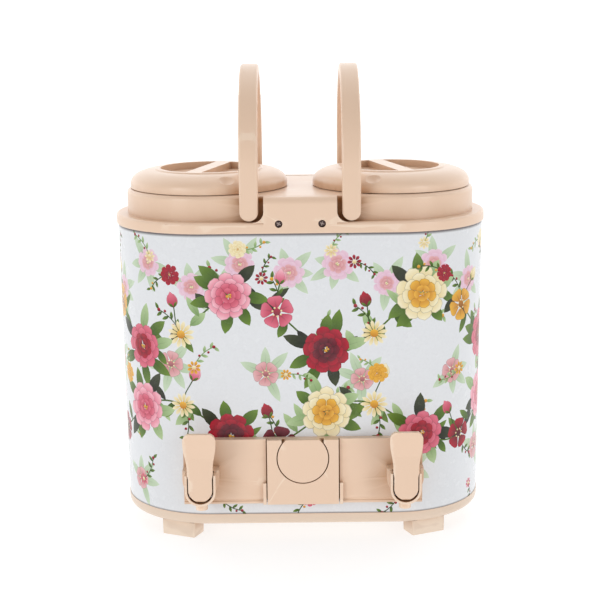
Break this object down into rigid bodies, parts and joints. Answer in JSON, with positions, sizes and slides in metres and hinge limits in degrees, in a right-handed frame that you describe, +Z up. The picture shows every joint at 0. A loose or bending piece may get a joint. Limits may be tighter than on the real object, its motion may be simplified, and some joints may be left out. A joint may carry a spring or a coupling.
{
  "type": "twin-tank insulated drinks flask",
  "caption": "Oval insulated drinks flask with two lidded tanks, folding bail handles, front lever taps and a fold-down cup rest.",
  "frame": {"origin": "on the floor under the middle of the overall box", "axes": "+Z up, the taps and cup rest face -Y, +X to the right seen from the front"},
  "size_m": [0.328, 0.1972, 0.4115],
  "materials": {
    "beige_plastic": "satin moulded plastic, warm beige",
    "printed_sheet": "glossy white printed sheet with flowers",
    "white_plastic": "plain moulded plastic",
    "tank_plastic": "smooth food-safe plastic",
    "foam": "poured insulating foam",
    "steel": "bright wire and pins",
    "dark_screws": "blackened cross-head screws",
    "silicone": "soft pale silicone"
  },
  "bodies": {
    "body": {"base_tray": "beige_plastic", "foot_front_left": "beige_plastic", "foot_front_right": "beige_plastic", "foot_rear_left": "beige_plastic", "foot_rear_right": "beige_plastic", "foot_screws": "steel", "outer_shell": "printed_sheet", "foam_core": "foam", "left_liner": "tank_plastic", "right_liner": "tank_plastic", "neck_frame": "white_plastic", "collar": "beige_plastic", "collar_screws": "dark_screws", "front_panel": "beige_plastic", "cup_rest_pins": "steel", "left_tap_body": "beige_plastic", "left_tap_nut": "white_plastic", "left_tap_washer": "silicone", "left_tap_bonnet": "white_plastic", "left_lever_pin": "steel", "left_valve_spring": "steel", "right_tap_body": "beige_plastic", "right_tap_nut": "white_plastic", "right_tap_washer": "silicone", "right_tap_bonnet": "white_plastic", "right_lever_pin": "steel", "right_valve_spring": "steel"},
    "left_handle": {"left_handle": "beige_plastic"},
    "right_handle": {"right_handle": "beige_plastic"},
    "left_lid_seal": {"left_lid_seal": "silicone"},
    "right_lid_seal": {"right_lid_seal": "silicone"},
    "left_lid": {"left_lid_cap": "beige_plastic", "left_lid_plug": "white_plastic", "left_lid_foam": "foam"},
    "right_lid": {"right_lid_cap": "beige_plastic", "right_lid_plug": "white_plastic", "right_lid_foam": "foam"},
    "left_lever": {"left_lever": "beige_plastic"},
    "right_lever": {"right_lever": "beige_plastic"},
    "left_valve": {"left_valve_stem": "white_plastic", "left_valve_seal": "silicone"},
    "right_valve": {"right_valve_stem": "white_plastic", "right_valve_seal": "silicone"},
    "cup_rest": {"cup_rest": "beige_plastic"}
  },
  "joints": [
    {"name": "left_handle_fold", "type": "hinge", "parent": "body", "child": "left_handle", "pos_m": [-0.0433, 0.01562, 0.292], "axis": [0, -1, 0], "range_deg": [0, 90]},
    {"name": "left_lid_lift", "type": "slide", "parent": "body", "child": "left_lid_seal", "axis": [0, 0, 1], "range_m": [0, 0.04]},
    {"name": "left_lid_turn", "type": "hinge", "parent": "left_lid_seal", "child": "left_lid", "pos_m": [-0.081, 0.01562, 0.3048], "axis": [0, 0, 1], "range_deg": [0, 270]},
    {"name": "left_lever_tilt", "type": "hinge", "parent": "body", "child": "left_lever", "pos_m": [-0.088, -0.09048, 0.0501], "axis": [1, 0, 0], "range_deg": [0, 25], "stiffness_Nm_per_rad": 0.3, "springref_deg": -8.59},
    {"name": "left_valve_slide", "type": "slide", "parent": "body", "child": "left_valve", "axis": [0, -1, 0], "range_m": [0, 0.00396], "deforming": ["left_valve_spring"]},
    {"name": "right_handle_fold", "type": "hinge", "parent": "body", "child": "right_handle", "pos_m": [0.0433, 0.01562, 0.292], "axis": [0, 1, 0], "range_deg": [0, 90]},
    {"name": "right_lid_lift", "type": "slide", "parent": "body", "child": "right_lid_seal", "axis": [0, 0, 1], "range_m": [0, 0.04]},
    {"name": "right_lid_turn", "type": "hinge", "parent": "right_lid_seal", "child": "right_lid", "pos_m": [0.081, 0.01562, 0.3048], "axis": [0, 0, 1], "range_deg": [0, 270]},
    {"name": "right_lever_tilt", "type": "hinge", "parent": "body", "child": "right_lever", "pos_m": [0.088, -0.09048, 0.0501], "axis": [1, 0, 0], "range_deg": [0, 25], "stiffness_Nm_per_rad": 0.3, "springref_deg": -8.59},
    {"name": "right_valve_slide", "type": "slide", "parent": "body", "child": "right_valve", "axis": [0, -1, 0], "range_m": [0, 0.00396], "deforming": ["right_valve_spring"]},
    {"name": "cup_rest_fold", "type": "hinge", "parent": "body", "child": "cup_rest", "pos_m": [0, -0.07243, 0.03945], "axis": [1, 0, 0], "range_deg": [0, 90]}
  ],
  "couplings": [
    {"joint": "left_lid_lift", "follows": "left_lid_turn", "m_per_rad": 0.008488},
    {"joint": "left_valve_slide", "follows": "left_lever_tilt", "m_per_rad": 0.009056},
    {"joint": "right_lid_lift", "follows": "right_lid_turn", "m_per_rad": 0.008488},
    {"joint": "right_valve_slide", "follows": "right_lever_tilt", "m_per_rad": 0.009056}
  ]
}
